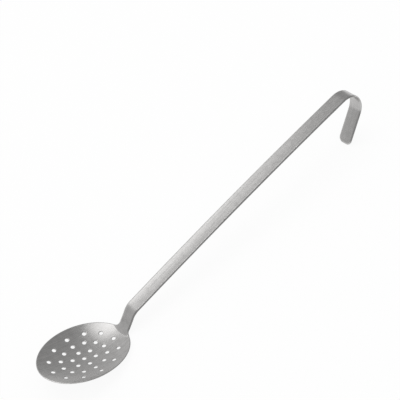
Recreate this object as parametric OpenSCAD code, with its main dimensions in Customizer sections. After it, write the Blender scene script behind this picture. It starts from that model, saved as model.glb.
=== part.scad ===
// A kitchen skimmer pressed from one sheet of stainless steel. A shallow oval bowl with rings of round
// holes turns up at one end into a short steep neck, which cranks over into a long flat strip handle.
// The far end of the strip is turned back under itself as a hook with a rounded tip.
// It lies as it comes to rest on a table: on the rim of the bowl below the neck and on the hook's tip.
// Everything is worked out in the bowl's own frame, with the rim in the plane z = 0, the middle of the
// rim at the origin and the handle towards +X, and is tipped onto the table at the end.

/* [Bowl] */
// length of the rim, along the handle
bowl_length = 90; // [75:1:120]
// width of the rim, across the handle
bowl_width = 69.5; // [58:0.5:90]
// depth of the inside below the rim
bowl_depth = 8; // [6:0.5:13]
// thickness of the drawn sheet
bowl_sheet = 1.2; // [0.8:0.1:2]

/* [Holes] */
// diameter of each round hole
hole_diameter = 3.8; // [2:0.1:5]
// number of rings of holes round the middle hole
hole_rings = 3; // [1:1:3]
// step from one ring to the next, as a part of the bowl's half length and half width
ring_step = 0.245; // [0.2:0.005:0.27]
// holes in the innermost ring
inner_holes = 6; // [4:1:8]
// holes in each ring outside it
outer_holes = 12; // [6:1:14]

/* [Neck] */
// angle at which the neck rises from the plane of the rim
neck_angle = 66; // [45:1:80]
// length of the neck from the rim to the start of its upper bend
neck_length = 15.5; // [11:0.5:30]
// width of the neck above the root
neck_width = 12.6; // [9:0.2:18]
// radius of the fillets where the sides of the neck spread into the rim
root_spread = 4.5; // [2:0.5:8]
// inside radius of the bend from the bowl into the neck
root_radius = 4.5; // [3:0.5:7]
// inside radius of the bend from the neck into the handle
crank_radius = 12.5; // [6:0.5:25]

/* [Handle] */
// angle of the middle of the handle to the plane of the rim
handle_angle = 24.5; // [10:0.5:35]
// length of the handle between its two bends
handle_length = 279; // [200:1:360]
// width of the strip where the handle starts
strip_width = 14.6; // [11:0.2:20]
// width of the strip at the hook
hook_width = 15.4; // [12:0.2:22]
// thickness of the strip
strip_thickness = 2; // [1.5:0.1:3]
// half of the angle through which the handle is bowed along its length
handle_bow = 1.8; // [0:0.1:4]
// softening of the strip's long edges
edge_softening = 0.5; // [0.2:0.1:0.7]

/* [Hook] */
// inside radius of the hook's bend
hook_radius = 18; // [8:0.5:26]
// angle through which the strip is turned back
hook_turn = 132; // [115:1:150]
// length of the straight leg with its tip
leg_length = 34.5; // [22:0.5:55]
// radius of the tip's two corners
tip_radius = 5.5; // [3:0.5:8]

/* [Hidden] */

steel = [0.74, 0.74, 0.73];
half_l = bowl_length / 2;
half_w = bowl_width / 2;

// The inside of the bowl is a surface of revolution: an arc of radius arc_r is turned about a line that
// lies axis_h above the rim and runs along the handle's direction. mid_r is its distance in the middle.
arc_r = (half_l * half_l + bowl_depth * bowl_depth) / (2 * bowl_depth);
axis_h = (half_w * half_w - bowl_depth * bowl_depth) / (2 * bowl_depth);
mid_r = axis_h + bowl_depth;
function turn_r(x) = mid_r - arc_r + sqrt(arc_r * arc_r - x * x);
function rim_y(x) = sqrt(max(0, pow(turn_r(x), 2) - axis_h * axis_h));
// distance along the handle's direction by which the rim has fallen back from its end at the width y
function rim_fall(y) = half_l * (1 - sqrt(max(0, 1 - pow(y / half_w, 2))));
end_slope = asin(half_l / arc_r);
sheet_margin = 3;
sheet_angle = asin(min(0.95, (half_w + sheet_margin) / mid_r));

rim_sides = 96;
rim_points = [for (i = [0:rim_sides - 1]) let (t = i * 360 / rim_sides)
    [half_l * cos(t), (sin(t) < 0 ? -1 : 1) * rim_y(half_l * cos(t))]];

// One station of the strip is [x, z, angle, half width, thickness, follow], on the middle of its
// thickness. follow is 1 where the section curves with the rim and 0 where it lies straight across.
bury = 0.5 * bowl_sheet;
root_mid = root_radius + strip_thickness / 2;
root_turn = neck_angle - end_slope;
root_reach = root_mid * tan(root_turn / 2);
root_lead = 4;
corner = [half_l + bowl_sheet / 2 * sin(end_slope), -bowl_sheet / 2 * cos(end_slope)];
flat_from = neck_length;

function lerp(a, b, u) = a + (b - a) * u;
function ease(u) = let (v = min(1, max(0, u))) v * v * (3 - 2 * v);
function side(l) = neck_width / 2 + (l < 0 ? root_spread
    : l < root_spread ? root_spread - sqrt(max(0, root_spread * root_spread - pow(root_spread - l, 2)))
    : 0);
function thick(l) = lerp(bury, strip_thickness, ease((l + root_reach) / (2 * root_reach + 2)));
function follow(l) = 1 - ease(l / flat_from);

// point and heading at the distance l along the strip from the corner of the root: on the bowl's sheet,
// then on the root's bend, then straight up the neck
sheet_mid = arc_r + bowl_sheet / 2;
bend_from = corner - root_reach * [cos(end_slope), sin(end_slope)];
bend_to = corner + root_reach * [cos(neck_angle), sin(neck_angle)];
function root_at(l) =
    l <= -root_reach
        ? let (d = -root_reach - l, a = end_slope - d / sheet_mid * 180 / PI)
            [bend_from[0] - d * cos((a + end_slope) / 2), bend_from[1] - d * sin((a + end_slope) / 2), a]
    : l >= root_reach
        ? [corner[0] + l * cos(neck_angle), corner[1] + l * sin(neck_angle), neck_angle]
    : let (a = end_slope + root_turn * (l + root_reach) / (2 * root_reach))
        [bend_from[0] + root_mid * (sin(a) - sin(end_slope)),
         bend_from[1] - root_mid * (cos(a) - cos(end_slope)), a];
root_steps = [for (l = concat(
        [-root_reach - root_lead, -root_reach],
        [for (i = [1:5]) lerp(-root_reach, root_reach, i / 6)],
        [root_reach, root_reach + 0.25 * (root_spread - root_reach),
         root_reach + 0.6 * (root_spread - root_reach)],
        [for (i = [0:3]) lerp(max(root_spread, root_reach + 0.5), neck_length, i / 3)]))
    let (p = root_at(l)) [p[0], p[1], p[2], side(l), thick(l), follow(l)]];

// stations on an arc that starts at p = [x, z, heading] and turns through an angle, left if it is positive
function arc_at(p, r, turned) = let (s = turned < 0 ? -1 : 1)
    [p[0] + s * r * (sin(p[2] + turned) - sin(p[2])),
     p[1] - s * r * (cos(p[2] + turned) - cos(p[2])), p[2] + turned];
function arc_steps(p, r, turn, n, h0, h1) = [for (i = [1:n]) let (q = arc_at(p, r, turn * i / n))
    [q[0], q[1], q[2], lerp(h0, h1, i / n), strip_thickness, 0]];

neck_end = root_at(neck_length);
crank_turn = handle_angle + handle_bow - neck_angle;
crank_mid = crank_radius + strip_thickness / 2;
crank_sides = 10;
crank_steps = arc_steps(neck_end, crank_mid, crank_turn, crank_sides, neck_width / 2, strip_width / 2);
handle_start = arc_at(neck_end, crank_mid, crank_turn);

// the bowed handle is a very long arc, or a straight line where the bow is nothing
bow_r = handle_length / (2 * max(handle_bow, 0.001) * PI / 180);
handle_sides = 10;
handle_steps = arc_steps(handle_start, bow_r, -2 * max(handle_bow, 0.001), handle_sides,
    strip_width / 2, hook_width / 2);
handle_end = arc_at(handle_start, bow_r, -2 * max(handle_bow, 0.001));

// The flats of the hook's bend are drawn a little inside its true radius, and the bore then cuts them
// to a true cylinder.
bore_cut = 0.12;
hook_mid = hook_radius - bore_cut + strip_thickness / 2;
hook_sides = 22;
hook_steps = arc_steps(handle_end, hook_mid, -hook_turn, hook_sides, hook_width / 2, hook_width / 2);
leg_start = arc_at(handle_end, hook_mid, -hook_turn);
hook_centre = [handle_end[0] + hook_mid * sin(handle_end[2]), handle_end[1] - hook_mid * cos(handle_end[2])];

tip_r = min(tip_radius, hook_width / 2 - edge_softening - 0.3);
tip_sides = 6;
function leg_at(l, half) = [leg_start[0] + l * cos(leg_start[2]), leg_start[1] + l * sin(leg_start[2]),
    leg_start[2], half, strip_thickness, 0];
leg_steps = [for (i = [0:tip_sides]) let (t = 90 * i / tip_sides)
    leg_at(leg_length - tip_r * (1 - sin(t)), hook_width / 2 - tip_r * (1 - cos(t)))];

stations = concat(root_steps, crank_steps, handle_steps, hook_steps, leg_steps);

// The section at a station, as [width, height] pairs once round: over the top from the +Y edge to the
// -Y edge, down the softened edge, back along the underside and up the other edge.
across = 9;
function section(s) = let (c = min(edge_softening, 0.35 * s[4]), w = s[3] - c, t = s[4] / 2) concat(
    [for (i = [0:across - 1]) [w * (1 - 2 * i / (across - 1)), t]],
    [[-s[3], t - c], [-s[3], c - t]],
    [for (i = [0:across - 1]) [-w * (1 - 2 * i / (across - 1)), -t]],
    [[s[3], c - t], [s[3], t - c]]);
function place(s, p) = [s[0] - p[1] * sin(s[2]) - s[5] * rim_fall(p[0]), p[0], s[1] + p[1] * cos(s[2])];
ring_size = 2 * across + 4;
strip_points = [for (s = stations) for (p = section(s)) place(s, p)];
strip_faces = concat(
    [for (k = [0:len(stations) - 2]) for (i = [0:ring_size - 1]) for (half = [0, 1])
        let (j = (i + 1) % ring_size, a = k * ring_size, b = a + ring_size)
        half == 0 ? [a + i, b + j, a + j] : [a + i, b + i, b + j]],
    [[for (i = [0:ring_size - 1]) i]],
    [[for (i = [0:ring_size - 1]) len(stations) * ring_size - 1 - i]]);

// The table touches the hook's tip and whatever hangs lowest of the bowl and the neck's root, so the
// skimmer is tipped by the steepest line from the tip to any of them.
last = stations[len(stations) - 1];
tip_low = [last[0] - strip_thickness / 2 * sin(last[2]), last[1] + strip_thickness / 2 * cos(last[2])];
outer_r = arc_r + bowl_sheet;
rim_low = axis_h - sqrt(pow(mid_r + bowl_sheet - outer_r + sqrt(outer_r * outer_r - half_l * half_l), 2));
under = concat(
    [for (i = [0:60]) let (x = half_l * i / 60)
        [x, axis_h - (mid_r - arc_r) - sqrt(outer_r * outer_r - x * x)]],
    [for (s = root_steps) [s[0] + s[4] / 2 * sin(s[2]), s[1] - s[4] / 2 * cos(s[2])]]);
rest_tilt = atan(max([for (p = under) (tip_low[1] - p[1]) / (tip_low[0] - p[0])]));
function rest_x(x, z) = x * cos(rest_tilt) + z * sin(rest_tilt);
function rest_z(x, z) = z * cos(rest_tilt) - x * sin(rest_tilt);
x_max = max([for (p = strip_points) rest_x(p[0], p[2])]);
x_min = min(rest_x(-half_l, 0), rest_x(-half_l, rim_low));
z_min = rest_z(tip_low[0], tip_low[1]);

// the sheet of the bowl, turned about its long line and trimmed upright round the rim
module bowl() {
    intersection() {
        translate([0, 0, axis_h]) rotate([0, 90, 0]) rotate([0, 0, -sheet_angle])
            rotate_extrude(angle = 2 * sheet_angle, $fn = 160)
                intersection() {
                    translate([mid_r - arc_r, 0]) difference() {
                        circle(r = outer_r, $fn = 240);
                        circle(r = arc_r, $fn = 240);
                    }
                    translate([turn_r(half_l + sheet_margin), -half_l - sheet_margin])
                        square([bowl_depth + bowl_sheet + 4, 2 * (half_l + sheet_margin)]);
                }
        translate([0, 0, -bowl_depth - bowl_sheet - 2])
            linear_extrude(height = bowl_depth + bowl_sheet + 6) polygon(rim_points);
    }
}

// one hole, punched square to the sheet at the place [x, y] seen from above
module hole(x, y) {
    translate([0, 0, axis_h]) rotate([asin(y / turn_r(x)), 0, 0])
        translate([0, 0, arc_r - mid_r]) rotate([0, -asin(x / arc_r), 0])
            translate([0, 0, -outer_r - 2])
                cylinder(h = bowl_sheet + 4, d = hole_diameter, $fn = 32);
}

module holes() {
    hole(0, 0);
    for (ring = [1:hole_rings])
        let (n = ring == 1 ? inner_holes : outer_holes, from = ring == 1 ? 180 / inner_holes : 0)
            for (i = [0:n - 1])
                hole(ring * ring_step * half_l * cos(from + i * 360 / n),
                     ring * ring_step * half_w * sin(from + i * 360 / n));
}

// neck, handle, hook and leg in one run of sections
module strip() {
    polyhedron(points = strip_points, faces = strip_faces, convexity = 8);
}

// the true cylinder inside the hook's bend
module hook_bore() {
    translate([hook_centre[0], 0, hook_centre[1]]) rotate([90, 0, 0])
        cylinder(h = 2 * hook_width, r = hook_radius, center = true, $fn = 180);
}

module skimmer() {
    color(steel)
        translate([-(x_min + x_max) / 2, 0, -z_min]) rotate([0, rest_tilt, 0])
            difference() {
                union() {
                    difference() {
                        bowl();
                        holes();
                    }
                    strip();
                }
                hook_bore();
            }
}

skimmer();
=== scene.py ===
"""A kitchen skimmer: one blank of stainless steel sheet, pressed into a shallow oval bowl with rings of
holes, bent up into a short neck, cranked over into a long flat handle and turned back at the end as an open
hook. Lengths are in millimetres in the bowl's own frame, with its rim in the plane z = 0. When the mesh is
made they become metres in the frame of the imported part, +X from the bowl to the hook."""

import bmesh
import bpy
import numpy as np
from mathutils import Matrix, Vector


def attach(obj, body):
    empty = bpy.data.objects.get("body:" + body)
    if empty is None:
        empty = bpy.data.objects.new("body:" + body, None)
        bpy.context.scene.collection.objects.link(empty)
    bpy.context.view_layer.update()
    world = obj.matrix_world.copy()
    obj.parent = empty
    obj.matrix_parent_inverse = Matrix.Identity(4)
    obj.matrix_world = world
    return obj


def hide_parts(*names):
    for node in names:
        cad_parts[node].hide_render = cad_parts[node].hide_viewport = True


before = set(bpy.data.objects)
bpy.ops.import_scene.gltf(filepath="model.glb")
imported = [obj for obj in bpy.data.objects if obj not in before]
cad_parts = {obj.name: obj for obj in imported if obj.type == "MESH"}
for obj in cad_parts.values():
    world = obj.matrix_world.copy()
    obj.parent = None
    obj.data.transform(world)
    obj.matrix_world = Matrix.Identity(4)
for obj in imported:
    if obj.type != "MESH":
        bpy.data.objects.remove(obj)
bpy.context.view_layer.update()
bpy.context.scene.view_settings.view_transform = "Standard"


# ---- The bowl ----
# The bowl is the round end of the blank: 1.2 mm sheet, punched with a middle hole and three rings of holes
# and then drawn 8 mm deep between two dies. Its rim is only trimmed and eased, with no rolled edge.
HALF_LENGTH, HALF_WIDTH, DEPTH = 45.0, 34.75, 8.0
SHEET = 1.2
# the rings lie at even shares of the half axes: each one's number, its holes and the turn of its first hole
RINGS, RING_STEP = ((1, 6, np.pi / 6), (2, 12, 0), (3, 12, 0)), 0.245
HOLE_RADIUS, HOLE_EASE = 1.9, 0.22
RIM_EASE, RIM_DROP = 0.6, 0.45
# how finely the sheet is divided: points once round it, steps across a ring of holes, rows from the last ring
# to the rim, steps on each curve of an eased edge and shares of the way from a hole to its tile's border
ROUND, TILE_STEPS, RIM_ROWS, EDGE_STEPS = 120, 9, 25, 6
TILE_SHARES = np.array([0, 0.07, 0.22, 0.45, 0.72, 1.0])

# the die's inside: an arc along the bowl, turned about a long line over it, and its slope at the bowl's end
ARC = (HALF_LENGTH ** 2 + DEPTH ** 2) / (2 * DEPTH)
AXIS = (HALF_WIDTH ** 2 - DEPTH ** 2) / (2 * DEPTH)
MIDDLE = AXIS + DEPTH
END_SLOPE = np.arcsin(HALF_LENGTH / ARC)

blank_points, blank_faces, blank_grain = [], [], []


def lay(points, grain, closed=False):
    """Adds a grid of points, rows by columns, to the blank, with its place on the flat blank as its grain."""
    rows, columns = points.shape[:2]
    start = sum(len(p) for p in blank_points)
    number = start + np.arange(rows * columns).reshape(rows, columns)
    if closed:
        number = np.hstack([number, number[:, :1]])
    blank_points.append(points.reshape(-1, 3))
    blank_grain.append(np.broadcast_to(grain, points.shape[:2] + (2,)).reshape(-1, 2))
    blank_faces.append(np.stack([number[:-1, :-1], number[1:, :-1], number[1:, 1:], number[:-1, 1:]],
                                -1).reshape(-1, 4))


def across_radius(x):
    """Radius of the bowl's inside about its long line, over x: middle radius - R + sqrt(R^2 - x^2)."""
    return MIDDLE - ARC + np.sqrt(ARC ** 2 - x ** 2)


def on_bowl(angles, under):
    """Point at the arc angle a along the bowl and the turn b across it, a distance d under its inside:
    x = (R + d) sin a, on a circle of radius r = middle - R + (R + d) cos a, so y = r sin b and
    z = axis - r cos b."""
    a, b = angles[..., 0], angles[..., 1]
    r = MIDDLE - ARC + (ARC + under) * np.cos(a)
    return np.stack([(ARC + under) * np.sin(a), r * np.sin(b), AXIS - r * np.cos(b)], -1)


def angles_over(x, y, under=0.0):
    """The two angles of the point over (x, y): a = asin(x / (R + d)), then b = asin(y / r at a)."""
    a = np.arcsin(x / (ARC + under))
    return np.stack([a, np.arcsin(y / (MIDDLE - ARC + (ARC + under) * np.cos(a)))], -1)


def oval(part, turn):
    """Angles of the point at a part of the rim's half axes: x = part * half length * cos(turn) and
    y = part * half width * sin(turn)."""
    return angles_over(part * HALF_LENGTH * np.cos(turn), part * HALF_WIDTH * np.sin(turn))


# Tumbling leaves an edge slanted, with only a little roundness: how far the handles of its curve go along the
# slant, and from there towards the sharp corner.
ALONG_CHORD, TO_CORNER = 0.33, 0.08


def eased(a, corner, other, b, drop):
    """Edge of the sheet from a on one face to b on the other: a cubic curve from a to a drop down the wall, whose
    handles lie along its chord and a little towards the sharp corner, the wall, and the same curve back up."""
    q = np.linspace(0, 1, EDGE_STEPS + 1).reshape((-1,) + (1,) * a.ndim)
    wall = (other - corner) / np.linalg.norm(other - corner, axis=-1, keepdims=True) * drop

    def curve(p, c, w):
        """(1 - q)^3 p + 3 q (1 - q)^2 p' + 3 q^2 (1 - q) w' + q^3 w, with the handles p' and w'."""
        near_p = p + ALONG_CHORD * (w - p) + TO_CORNER * (c - p)
        near_w = w - ALONG_CHORD * (w - p) + TO_CORNER * (c - w)
        return (1 - q) ** 3 * p + 3 * q * (1 - q) ** 2 * near_p + 3 * q ** 2 * (1 - q) * near_w + q ** 3 * w

    return np.concatenate([curve(a, corner, corner + wall), curve(b, other, other - wall)[::-1]])


def run_length(profile):
    """Length along each column of a grid from its first row, as sums of the steps between rows."""
    step = np.linalg.norm(np.diff(profile, axis=0), axis=-1)
    return np.concatenate([np.zeros((1,) + step.shape[1:]), np.cumsum(step, 0)])


# how far the points round a hole turn from an even spread to where they face the tile's border
FACING = 0.4


def punched(border, x, y):
    """A tile of sheet with one hole: rows run from the hole's eased edge out to the border on both faces, each
    a share of the way, and the wall of the hole goes square through the sheet between them."""
    centre = angles_over(x, y)
    reach = np.array([ARC, across_radius(x)])
    seen = np.unwrap(np.arctan2(*((border - centre) * reach).T[::-1]))
    even = np.sign(seen[-1] - seen[0]) * np.arange(len(seen)) * 2 * np.pi / len(seen)
    t = FACING * seen + (1 - FACING) * (even + np.mean(seen - even))
    turn = np.stack([np.cos(t), np.sin(t)], -1)
    edge = centre + (HOLE_RADIUS + HOLE_EASE) * turn / reach
    rows = edge + (border - edge) * TILE_SHARES[:, None, None]
    flat = on_bowl(rows, 0)[..., :2]
    lay(on_bowl(rows, 0), flat, closed=True)
    lay(on_bowl(rows, SHEET), flat, closed=True)
    sharp = centre + HOLE_RADIUS * turn / reach
    wall = eased(on_bowl(edge, 0), on_bowl(sharp, 0), on_bowl(sharp, SHEET), on_bowl(edge, SHEET), HOLE_EASE)
    inwards = HOLE_RADIUS + HOLE_EASE - run_length(wall)
    lay(wall, np.array([x, y]) + inwards[..., None] * turn, closed=True)


def tile_border(from_turn, to_turn, from_part, to_part, along, up):
    """Points once round a tile of the oval: along its inner side, out, back along its outer side and in."""
    turn = np.concatenate([np.linspace(from_turn, to_turn, along + 1)[:-1], np.full(up, to_turn),
                           np.linspace(to_turn, from_turn, along + 1)[:-1], np.full(up, from_turn)])
    part = np.concatenate([np.full(along, from_part), np.linspace(from_part, to_part, up + 1)[:-1],
                           np.full(along, to_part), np.linspace(to_part, from_part, up + 1)[:-1]])
    return oval(part, turn)


round_turns = 2 * np.pi * np.arange(ROUND) / ROUND
punched(oval(0.5 * RING_STEP, round_turns), 0.0, 0.0)
for ring, count, first in RINGS:
    for turn in first + 2 * np.pi * np.arange(count) / count:
        punched(tile_border(turn - np.pi / count, turn + np.pi / count, (ring - 0.5) * RING_STEP,
                            (ring + 0.5) * RING_STEP, ROUND // count, TILE_STEPS),
                ring * RING_STEP * HALF_LENGTH * np.cos(turn), ring * RING_STEP * HALF_WIDTH * np.sin(turn))

# The rim is where the drawn inside meets the plane z = 0, and the wall below it is upright.
rim_x = HALF_LENGTH * np.cos(round_turns)
rim_y = np.sign(np.sin(round_turns)) * np.sqrt(np.maximum(0, across_radius(rim_x) ** 2 - AXIS ** 2))
rim = np.stack([rim_x, rim_y], -1)
rim_out = rim / np.array([HALF_LENGTH, HALF_WIDTH]) ** 2
rim_out /= np.linalg.norm(rim_out, axis=-1, keepdims=True)
rim_inset = rim - RIM_EASE * rim_out


# ---- The neck, the handle and the hook ----
# The same blank goes on as a strip 2 mm thick and 14 to 16 mm wide. It is bent up at the rim, cranked over with
# a wider bend, and bent round a bar at the far end; its sheared long edges are tumbled until they are smooth.
STRIP = 2.0
NECK_ANGLE, NECK_LENGTH, NECK_HALF = np.radians(66), 15.5, 7.1
# the foot in the corner at the root: its slant, its reach into the bowl in the middle and at the fillets, and
# the share of a fillet's width over which it runs out
FOOT_ANGLE, FOOT_REACH, FOOT_LEAST, FOOT_SIDES = np.radians(45), 6.1, 0.8, 0.6
CRANK_BEND = 12.5 + STRIP / 2
HANDLE_ANGLE, HANDLE_LENGTH, HANDLE_BOW = np.radians(24.5), 279.0, np.radians(1.8)
HANDLE_HALF, HOOK_HALF = 7.5, 7.9
HOOK_BEND, HOOK_TURN = 17.88 + STRIP / 2, np.radians(132)
LEG_LENGTH, TIP_RADIUS = 34.5, 5.5
NECK_EASE, STRIP_EASE, STRIP_DROP = 1.5, 1.4, 0.95
# how finely it is divided: columns on each side of its middle and steps along each length
HALF_COLUMNS = 6
FILLET_STEPS, NECK_STEPS, CRANK_STEPS, HANDLE_STEPS, HOOK_STEPS, LEG_STEPS, TIP_STEPS = 12, 8, 24, 90, 60, 9, 10
# how the finished skimmer is tipped from the bowl's frame onto the table, as the CAD part is
REST_TILT, REST_X, REST_Z = np.radians(16.0494), 157.793, -13.9766

root_corner = np.array([HALF_LENGTH + SHEET / 2 * np.sin(END_SLOPE), -SHEET / 2 * np.cos(END_SLOPE)])
sector = np.arange(-HALF_COLUMNS, HALF_COLUMNS + 1)
root_half = rim_y[HALF_COLUMNS]
root_spread = root_half - NECK_HALF


def smooth(u):
    """Eases from 0 to 1: 3 u^2 - 2 u^3, held at both ends."""
    u = np.clip(u, 0, 1)
    return u * u * (3 - 2 * u)


def rim_fall(y):
    """How far the rim has fallen back from its end at the width y: L (1 - sqrt(1 - (y / w)^2)), with the half
    length L and the half width w."""
    return HALF_LENGTH * (1 - np.sqrt(np.maximum(0, 1 - (y / HALF_WIDTH) ** 2)))


# The inner corner at the root is pressed out into a slanted foot. For a reach of 1 along the bowl, its heading
# eases from the bowl's end to the foot's over the turn-in and then on to the neck's over a length of 1. That
# second turn comes so late that the path ends on the neck's own line: the start = sideways miss / sin(angle).
FOOT_TURN_IN = 0.35
PATH_STEP, PATH_END = 0.002, 5
foot_run = np.arange(0, PATH_END, PATH_STEP)
foot_first = END_SLOPE + (FOOT_ANGLE - END_SLOPE) * smooth(foot_run / FOOT_TURN_IN)


def path_of(heading):
    """Points x, z on a path with these headings a: sums of the steps times (cos a, sin a), from one reach before
    the corner."""
    steps = np.stack([np.cos(heading), np.sin(heading)], -1) * PATH_STEP
    return np.cumsum(steps, 0) - np.array([np.cos(END_SLOPE), np.sin(END_SLOPE)])


neck_way = np.array([np.cos(NECK_ANGLE), np.sin(NECK_ANGLE)])
early = path_of(foot_first + (NECK_ANGLE - FOOT_ANGLE) * smooth(foot_run))[-1]
late = (neck_way[0] * early[1] - neck_way[1] * early[0]) / np.sin(NECK_ANGLE - FOOT_ANGLE)
foot_a = foot_first + (NECK_ANGLE - FOOT_ANGLE) * smooth(foot_run - late)
foot_xz = path_of(foot_a)
# the foot cuts the corner, so distances along it are stretched to those of the bowl's end and the neck's line
foot_l = foot_run - 1 + (foot_xz[-1] @ neck_way - foot_run[-1] + 1) * smooth(foot_run / (late + 1))


def root_path(l, reach):
    """Middle of the strip, x, z and heading, a distance l past the rim: the unit foot grown to its reach, with
    the bowl's end before it, raised by the bowl's own curve l^2 / 2R, and the neck's line after it."""
    u, inside = l / reach, np.minimum(l, 0)
    before, after = np.minimum(u - foot_l[0], 0), np.maximum(u - foot_l[-1], 0)
    x = np.interp(u, foot_l, foot_xz[:, 0]) + before * np.cos(END_SLOPE) + after * neck_way[0]
    z = np.interp(u, foot_l, foot_xz[:, 1]) + before * np.sin(END_SLOPE) + after * neck_way[1]
    return np.stack([root_corner[0] + reach * x, root_corner[1] + reach * z + inside ** 2 / (2 * ARC),
                     np.interp(u, foot_l, foot_a) + inside / ARC], -1)


def foot_reach(y):
    """How far the foot reaches into the bowl at the width y: least + (most - least) (1 - (y / w)^2), with the
    root's half width w, so that it is the least at the fillets."""
    return FOOT_LEAST + (FOOT_REACH - FOOT_LEAST) * np.maximum(0, 1 - (y / root_half) ** 2)


# where the blank begins to thicken from the bowl's sheet to the strip, and over what length
THICKEN_FROM, THICKEN_LENGTH = -2, 8


def root_thickness(l):
    """Thickness a distance l past the rim, eased from the sheet's to the strip's."""
    return SHEET + (STRIP - SHEET) * smooth((l - THICKEN_FROM) / THICKEN_LENGTH)


def section(path, y, face, thickness, follow):
    """Points of the strip at the widths y: the middle moved by half a thickness along its normal
    (-sin a, cos a), and moved back by the rim's fall as far as the section still follows the rim."""
    x, z, a = path[..., 0], path[..., 1], path[..., 2]
    h = face * thickness / 2
    return np.stack(np.broadcast_arrays(x - h * np.sin(a) - follow * rim_fall(y), y, z + h * np.cos(a)), -1)


# how far before the foot the sheet begins to leave the bowl's curve, and over what length
LEAVE_BEFORE, LEAVE_LENGTH = 0.6, 1.2


def root_sheet(l, y, face):
    """The blank near the root: the bowl's sheet run on past the rim, and the bent strip. It goes over from one to
    the other where the foot begins, and over the fillets beside it."""
    x = HALF_LENGTH - rim_fall(y) + l * np.cos(END_SLOPE)
    under = 0.0 if face > 0 else SHEET
    kept = on_bowl(angles_over(x + under * np.sin(END_SLOPE), y, under), under)
    reach = foot_reach(y)
    bent = section(root_path(l, reach), y, face, root_thickness(l), 1 - smooth(l / NECK_LENGTH))
    share = smooth((root_half - np.abs(y)) / (FOOT_SIDES * root_spread)) \
        * smooth((l + reach + LEAVE_BEFORE) / LEAVE_LENGTH)
    return kept + (bent - kept) * share[..., None]


# From the last ring of holes to the rim, once round. In the neck's sector the rows lift into the root's bend,
# from none at the tiles' border, which is 6.8 mm inside the rim there.
LIFT_FROM, LIFT_LENGTH = -6.8, 0.5
hole_border = oval((len(RINGS) + 0.5) * RING_STEP, round_turns)
rim_share = np.linspace(0, 1, RIM_ROWS)[:, None, None]
rim_rows = {}
for face, under in ((1, 0.0), (-1, SHEET)):
    inset = angles_over(rim_inset[:, 0], rim_inset[:, 1], under)
    rows = on_bowl(hole_border + (inset - hole_border) * rim_share, under)
    near = rows[:, sector]
    past_rim = near[..., 0] - under * np.sin(END_SLOPE) - HALF_LENGTH + rim_fall(near[..., 1])
    along = past_rim / np.cos(END_SLOPE)
    lifted = root_sheet(along, near[..., 1], face)
    share = smooth((along - LIFT_FROM) / LIFT_LENGTH)[..., None]
    rows[:, sector] = near + (lifted - near) * share
    rim_rows[face] = rows
    lay(rows, rows[..., :2], closed=True)

fillet = np.radians(np.arange(1, FILLET_STEPS + 1) * 90 / FILLET_STEPS)
tip = np.radians(np.arange(TIP_STEPS + 1) * 90 / TIP_STEPS)


def arc(start, radius, turn, steps):
    """Even steps on an arc from start = x, z, heading: the heading grows by the turn, left if it is positive,
    and the point moves by radius times the change of sine and cosine."""
    a = start[2] + turn * np.arange(1, steps + 1) / steps
    s = np.sign(turn) * radius
    return np.stack([start[0] + s * (np.sin(a) - np.sin(start[2])),
                     start[1] - s * (np.cos(a) - np.cos(start[2])), a], -1)


# the edge grows from the rim's to the neck's over the fillet, and becomes the strip's over the crank
FILLET_EASED, CRANK_EASED_FROM, CRANK_EASED_LENGTH = 4, 14, 14


def ease_at(l):
    """Width of the eased edge a distance l past the rim, as the sum of two eased changes."""
    return RIM_EASE + (NECK_EASE - RIM_EASE) * smooth(l / FILLET_EASED) \
        + (STRIP_EASE - NECK_EASE) * smooth((l - CRANK_EASED_FROM) / CRANK_EASED_LENGTH)


def strip_rows(ease):
    """Middle line, half width and distance past the rim of every row of the strip, with the outline drawn in by
    a share of its ease: fillets grow by it, the tip's corners shrink by it and straight sides move by it."""
    e = ease * ease_at(root_spread * (1 - np.cos(fillet)))
    neck = np.linspace(root_spread, NECK_LENGTH, NECK_STEPS + 1)[1:]
    l = np.concatenate([root_spread - (root_spread + e) * np.cos(fillet), neck])
    half = np.concatenate([root_half - root_spread * np.sin(fillet), np.full(NECK_STEPS, NECK_HALF)])
    drawn_in = np.concatenate([e * np.sin(fillet), ease * ease_at(neck)])
    path = [root_path(l, np.array(FOOT_REACH))]
    widths, lengths = [half - drawn_in], [l]
    wide = NECK_HALF
    for radius, turn, steps, wide_end in (
            (CRANK_BEND, HANDLE_ANGLE + HANDLE_BOW - NECK_ANGLE, CRANK_STEPS, HANDLE_HALF),
            (HANDLE_LENGTH / (2 * HANDLE_BOW), -2 * HANDLE_BOW, HANDLE_STEPS, HOOK_HALF),
            (HOOK_BEND, -HOOK_TURN, HOOK_STEPS, HOOK_HALF)):
        path.append(arc(path[-1][-1], radius, turn, steps))
        share = np.arange(1, steps + 1) / steps
        lengths.append(lengths[-1][-1] + share * radius * abs(turn))
        widths.append(wide + (wide_end - wide) * share - ease * ease_at(lengths[-1]))
        wide = wide_end
    end, done, e = path[-1][-1], lengths[-1][-1], ease * STRIP_EASE
    leg = np.concatenate([np.linspace(0, LEG_LENGTH - TIP_RADIUS, LEG_STEPS + 1)[1:-1],
                          LEG_LENGTH - TIP_RADIUS + (TIP_RADIUS - e) * np.sin(tip)])
    path.append(np.stack([end[0] + leg * np.cos(end[2]), end[1] + leg * np.sin(end[2]),
                          np.full(len(leg), end[2])], -1))
    widths.append(np.concatenate([np.full(LEG_STEPS - 1, HOOK_HALF - e),
                                  HOOK_HALF - TIP_RADIUS + (TIP_RADIUS - e) * np.cos(tip)]))
    lengths.append(done + leg)
    return np.concatenate(path), np.concatenate(widths), np.concatenate(lengths)


# Rolling the strip leaves it a little hollow across. The hollow begins in the crank, and further along it loses
# a share of its depth. Each change starts at a distance past the rim and is eased over a length.
HOLLOW, HOLLOW_FROM, HOLLOW_LENGTH = 0.25, 19, 8
FLATTER, FLATTER_FROM, FLATTER_LENGTH = 0.5, 60, 150


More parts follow.
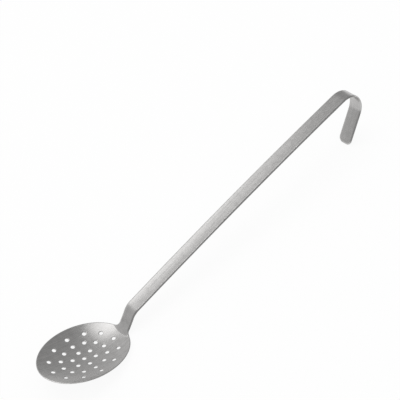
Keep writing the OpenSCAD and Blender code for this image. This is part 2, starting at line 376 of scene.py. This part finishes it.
def strip_face(ease, face, columns):
    """One face of the strip as rows by columns, with its place on the flat blank, for the eased face or the sharp
    edge. The column at a share c of the half width is hollowed by depth * (1 - c^2)."""
    path, half, l = strip_rows(ease)
    y = half[:, None] * columns
    thickness = root_thickness(l)[:, None]
    follow = 1 - smooth(l / NECK_LENGTH)[:, None]
    depth = HOLLOW * (smooth((l - HOLLOW_FROM) / HOLLOW_LENGTH)
                      * (1 - FLATTER * smooth((l - FLATTER_FROM) / FLATTER_LENGTH)))
    hollow = depth[:, None] * (1 - columns ** 2)
    points = section(path[:, None], y, face, thickness - 2 * face * hollow, follow)
    root = l <= NECK_LENGTH
    points[root] = root_sheet(l[root, None] + 0 * y[root], y[root], face)
    return points, np.stack([HALF_LENGTH + l[:, None] - follow * rim_fall(y), y], -1)


# The columns start where the rim's points are and move to the strip's own places, which crowd at its edges. The
# first rows take up what is left between the rim's eased face and the root's sheet.
CROWD_ROWS, JOIN_ROWS, DROP_ROWS = 14, 6, 12
rim_columns = rim_y[sector] / root_half
strip_columns = np.array([-1, -0.98, -0.84, -0.63, -0.42, -0.21, 0, 0.21, 0.42, 0.63, 0.84, 0.98, 1])
rows_count = len(strip_rows(1)[1])
near_rim = smooth(1 - np.arange(1, rows_count + 1) / CROWD_ROWS)[:, None]
columns = near_rim * rim_columns + (1 - near_rim) * strip_columns

strip_points, strip_grain = {}, {}
for face in (1, -1):
    points, grain = strip_face(1, face, columns)
    join = rim_rows[face][-1, sector]
    left = join - root_sheet(np.full(len(sector), -RIM_EASE), join[:, 1], face)
    points[:JOIN_ROWS] += left * np.linspace(1, 0, JOIN_ROWS + 1)[1:, None, None]
    strip_points[face] = np.concatenate([join[None], points])
    strip_grain[face] = np.concatenate([join[None, :, :2], grain])
    lay(strip_points[face], strip_grain[face])

# The edge goes once round the whole blank: the rim from one side of the neck to the other, down one side of the
# strip, across the tip and back up the other side.
long_way = np.arange(HALF_COLUMNS, ROUND - HALF_COLUMNS + 1)


def once_round(rim_part, grid):
    """Values along the outline: the rim the long way, the -Y side, the tip from -Y to +Y and the +Y side."""
    return np.concatenate([rim_part[long_way], grid[1:, 0], grid[-1, 1:-1], grid[:0:-1, -1]])


corner, faced = {}, {}
for face, under in ((1, 0.0), (-1, SHEET)):
    sharp, _ = strip_face(0, face, columns)
    grid = np.concatenate([sharp[:1], sharp])
    corner[face] = once_round(on_bowl(angles_over(rim[:, 0], rim[:, 1], under), under), grid)
    faced[face] = once_round(rim_rows[face][-1], strip_points[face])
drop = RIM_DROP + (STRIP_DROP - RIM_DROP) * smooth(np.arange(rows_count + 1) / DROP_ROWS)
drop_round = once_round(np.full(ROUND, RIM_DROP), drop[:, None] * np.ones(len(sector)))[:, None]
edge = eased(faced[1], corner[1], corner[-1], faced[-1], drop_round)
outline = once_round(rim_rows[1][-1][:, :2], strip_grain[1])
step = np.roll(outline, -1, 0) - np.roll(outline, 1, 0)
outwards = np.stack([step[:, 1], -step[:, 0]], -1) / np.linalg.norm(step, axis=-1, keepdims=True)
lay(edge, outline + run_length(edge)[..., None] * outwards, closed=True)

# The blank becomes one closed mesh, tipped onto the table and in metres. Points that meet are merged.
MERGE_WITHIN = 2e-6
points, faces = np.concatenate(blank_points), np.concatenate(blank_faces)
grain = np.concatenate(blank_grain)
cos, sin = np.cos(REST_TILT), np.sin(REST_TILT)
rest = np.stack([points[:, 0] * cos + points[:, 2] * sin - REST_X, points[:, 1],
                 points[:, 2] * cos - points[:, 0] * sin - REST_Z], -1) / 1000
skimmer_mesh = bpy.data.meshes.new("skimmer_blank")
skimmer_mesh.from_pydata(rest, [], faces)
grain_map = skimmer_mesh.uv_layers.new(name="grain")
grain_map.data.foreach_set("uv", grain[faces.ravel()].astype(np.float32).ravel())
joined = bmesh.new()
joined.from_mesh(skimmer_mesh)
bmesh.ops.remove_doubles(joined, verts=joined.verts, dist=MERGE_WITHIN)
bmesh.ops.recalc_face_normals(joined, faces=joined.faces)
for face in joined.faces:
    face.smooth = True
joined.to_mesh(skimmer_mesh)
joined.free()
skimmer = bpy.data.objects.new("skimmer_steel", skimmer_mesh)
bpy.context.collection.objects.link(skimmer)
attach(skimmer, "root")
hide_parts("skimmer")


def linear(code):
    """An sRGB hex colour as the linear RGBA that a shader takes: ((c + 0.055) / 1.055)^2.4 above 0.04045."""
    c = np.array([int(code[i:i + 2], 16) for i in (1, 3, 5)]) / 255
    return tuple(np.where(c > 0.04045, ((c + 0.055) / 1.055) ** 2.4, c / 12.92)) + (1.0,)


def add(tree, kind, links=(), **settings):
    """Adds one node: settings name its properties or its inputs, and links join (input, source socket)."""
    node = tree.nodes.new(kind)
    for name, value in settings.items():
        if hasattr(node, name):
            setattr(node, name, value)
        else:
            node.inputs[name.replace("_", " ")].default_value = value
    for name, source in links:
        tree.links.new(source, node.inputs[name])
    return node


# Satin stainless steel: belt ground along the blank, so reflections spread more across the grain than along it,
# with faint long streaks and a slightly cloudy patch here and there from handling. The real scratches are about
# 0.1 mm wide; the streaks are drawn 0.9 mm wide and 83 mm long so that they show, and the patches 4.5 mm wide.
# These are the noise's cells per mm, along and across the blank for the streaks, and then the patches' share.
STREAKS_ALONG, STREAKS_ACROSS, PATCHES, PATCH_SHARE = 0.012, 1.1, 0.22, 0.35
NOISE_LOW, NOISE_HIGH = 0.35, 0.65
ROUGH_LOW, ROUGH_HIGH = 0.24, 0.32
steel = bpy.data.materials.new("satin_brushed_stainless_steel")
steel.use_nodes = True
tree = steel.node_tree
tree.nodes.clear()
place = add(tree, "ShaderNodeUVMap", uv_map="grain")
along = add(tree, "ShaderNodeMapping", [("Vector", place.outputs["UV"])],
            Scale=(STREAKS_ALONG, STREAKS_ACROSS, 1))
streak = add(tree, "ShaderNodeTexNoise", [("Vector", along.outputs[0])], Scale=1.0, Detail=4.0, Roughness=0.6)
patch = add(tree, "ShaderNodeTexNoise", [("Vector", place.outputs["UV"])], Scale=PATCHES, Detail=2.0)
blend = add(tree, "ShaderNodeMix", [("A", streak.outputs["Fac"]), ("B", patch.outputs["Fac"])],
            Factor=PATCH_SHARE)
tone = add(tree, "ShaderNodeMapRange", [("Value", blend.outputs[0])], From_Min=NOISE_LOW, From_Max=NOISE_HIGH)
colour = add(tree, "ShaderNodeMix", [("Factor", tone.outputs[0])], data_type="RGBA")
colour.inputs[6].default_value, colour.inputs[7].default_value = linear("#AEADAC"), linear("#C3C2C1")
rough = add(tree, "ShaderNodeMapRange", [("Value", blend.outputs[0])], From_Min=NOISE_LOW, From_Max=NOISE_HIGH,
            To_Min=ROUGH_LOW, To_Max=ROUGH_HIGH)
tangent = add(tree, "ShaderNodeTangent", direction_type="UV_MAP", uv_map="grain")
shader = add(tree, "ShaderNodeBsdfPrincipled",
             [("Base Color", colour.outputs[2]), ("Roughness", rough.outputs[0]),
              ("Tangent", tangent.outputs[0])],
             Metallic=1.0, Anisotropic=0.5, Anisotropic_Rotation=0.25)
add(tree, "ShaderNodeOutputMaterial", [("Surface", shader.outputs[0])])
skimmer_mesh.materials.append(steel)


# ---- The table, the light and the camera ----
# A plain sheet of white paper lies under the skimmer and keeps its soft shadow. From here on lengths are in
# metres. The camera and the steel see the paper as nearly all glowing white, so a tenth of the shadow shows.
FLOOR_HALF, PAPER_GLOW = 3.0, 0.9
floor_points = FLOOR_HALF * np.array([[-1, -1, 0], [1, -1, 0], [1, 1, 0], [-1, 1, 0]])
floor_mesh = bpy.data.meshes.new("floor")
floor_mesh.from_pydata(floor_points, [], [[0, 1, 2, 3]])
floor = bpy.data.objects.new("floor", floor_mesh)
bpy.context.collection.objects.link(floor)


def seen_white(tree):
    """1 for a ray from the camera, from a mirror-like surface or through glass, and 0 for any other ray: the
    largest of the three kinds' own 1 or 0."""
    path = add(tree, "ShaderNodeLightPath")
    seen = add(tree, "ShaderNodeMath", [(0, path.outputs["Is Camera Ray"]), (1, path.outputs["Is Glossy Ray"])],
               operation="MAXIMUM")
    seen = add(tree, "ShaderNodeMath", [(0, seen.outputs[0]), (1, path.outputs["Is Transmission Ray"])],
               operation="MAXIMUM")
    return seen.outputs[0]


paper = bpy.data.materials.new("matt_white_paper")
paper.use_nodes = True
tree = paper.node_tree
tree.nodes.clear()
matt = add(tree, "ShaderNodeBsdfDiffuse", Color=linear("#F2F2F2"))
glow = add(tree, "ShaderNodeEmission", Color=(1, 1, 1, 1), Strength=1.0)
share = add(tree, "ShaderNodeMath", [(0, seen_white(tree))], operation="MULTIPLY")
share.inputs[1].default_value = PAPER_GLOW
mixed = add(tree, "ShaderNodeMixShader",
            [("Fac", share.outputs[0]), (1, matt.outputs[0]), (2, glow.outputs[0])])
add(tree, "ShaderNodeOutputMaterial", [("Surface", mixed.outputs[0])])
floor_mesh.materials.append(paper)

# The studio round it is white to the camera and in a mirror, and a little dimmer as light on the paper.
ROOM_LIGHT = 0.88
world = bpy.data.worlds.new("studio")
bpy.context.scene.world = world
world.use_nodes = True
tree = world.node_tree
tree.nodes.clear()
dim = add(tree, "ShaderNodeBackground", Color=(1, 1, 1, 1), Strength=ROOM_LIGHT)
white = add(tree, "ShaderNodeBackground", Color=(1, 1, 1, 1), Strength=1.0)
mixed = add(tree, "ShaderNodeMixShader",
            [("Fac", seen_white(tree)), (1, dim.outputs[0]), (2, white.outputs[0])])
add(tree, "ShaderNodeOutputWorld", [("Surface", mixed.outputs[0])])


def looking(place, aim):
    """Matrix of a lamp or camera at a place: moved there, with its own -Z turned towards the aim."""
    return Matrix.Translation(place) @ (place - aim).to_track_quat("Z", "Y").to_matrix().to_4x4()


# One large square soft box hangs over the far side of the table.
BOX_PLACE, BOX_SIZE, BOX_POWER = Vector((-0.015, 0.367, 1.578)), 1.05, 4.9
box_light = bpy.data.lights.new("soft_box_above", "AREA")
box_light.shape, box_light.size, box_light.energy = "SQUARE", BOX_SIZE, BOX_POWER
box = bpy.data.objects.new("soft_box_above", box_light)
box.matrix_world = looking(BOX_PLACE, Vector((0, 0, 0)))
bpy.context.collection.objects.link(box)

# A round tent stands over the table, outside every view, as what the steel mirrors. Nothing lights it: its glow
# is painted light, brightest on its far side as painted daylight, and along its foot as painted light thrown up
# by the white paper:
# tone = shade + side * e^(narrow (cos(turn - window) - 1)) + foot * e^(-(rise / foot rise)^2).
TENT_RADIUS, TENT_SHADE, TENT_SIDE, TENT_WINDOW, TENT_NARROW = 1.8, 0.385, 0.48, np.radians(106), 2.5
TENT_FOOT, TENT_FOOT_RISE = 0.15, np.radians(7)
TENT_ROWS, TENT_COLUMNS, TENT_TOP = 61, 64, np.radians(89.9)
turn = np.linspace(0, 2 * np.pi, TENT_COLUMNS + 1)[:-1]
rise = np.linspace(0, TENT_TOP, TENT_ROWS)[:, None]
tent_points = TENT_RADIUS * np.stack(np.broadcast_arrays(
    np.cos(turn) * np.cos(rise), np.sin(turn) * np.cos(rise), np.sin(rise)), -1)
n = np.arange(TENT_ROWS * TENT_COLUMNS).reshape(TENT_ROWS, TENT_COLUMNS)
n = np.hstack([n, n[:, :1]])
tent_mesh = bpy.data.meshes.new("light_tent")
tent_mesh.from_pydata(tent_points.reshape(-1, 3), [], np.stack(
    [n[:-1, :-1], n[1:, :-1], n[1:, 1:], n[:-1, 1:]], -1).reshape(-1, 4))
# tone is painted light: the strength of the tent's glow at each point, brighter on the far side and at the foot
tone = TENT_SHADE + TENT_SIDE * np.exp(TENT_NARROW * (np.cos(turn - TENT_WINDOW) - 1)) \
    + TENT_FOOT * np.exp(-(rise / TENT_FOOT_RISE) ** 2)
tent_mesh.attributes.new("tone", "FLOAT", "POINT").data.foreach_set("value", tone.astype(np.float32).ravel())
tent = bpy.data.objects.new("light_tent", tent_mesh)
bpy.context.collection.objects.link(tent)
tent.visible_camera = tent.visible_diffuse = tent.visible_shadow = False
tent_glow = bpy.data.materials.new("tent_painted_light_glow")
tent_glow.use_nodes = True
tree = tent_glow.node_tree
tree.nodes.clear()
# the glow strength read from tone is painted light, for the steel to mirror
level = add(tree, "ShaderNodeAttribute", attribute_name="tone")
glow = add(tree, "ShaderNodeEmission", [("Strength", level.outputs["Fac"])], Color=(1, 1, 1, 1))
add(tree, "ShaderNodeOutputMaterial", [("Surface", glow.outputs[0])])
tent_mesh.materials.append(tent_glow)

# The camera looks down on the skimmer from the bowl's end and its -Y side, a little rolled, through a long lens.
CAMERA_PLACE, CAMERA_AIM = Vector((-0.37305, -0.6565, 0.82812)), Vector((0.02692, 0.0454, 0.02))
CAMERA_ROLL, SENSOR_WIDTH, LENS = np.radians(-17.444), 36.0, 107.573
camera_data = bpy.data.cameras.new("camera")
camera_data.sensor_width, camera_data.lens = SENSOR_WIDTH, LENS
camera = bpy.data.objects.new("camera", camera_data)
camera.matrix_world = looking(CAMERA_PLACE, CAMERA_AIM) @ Matrix.Rotation(CAMERA_ROLL, 4, "Z")
bpy.context.collection.objects.link(camera)
bpy.context.scene.camera = camera
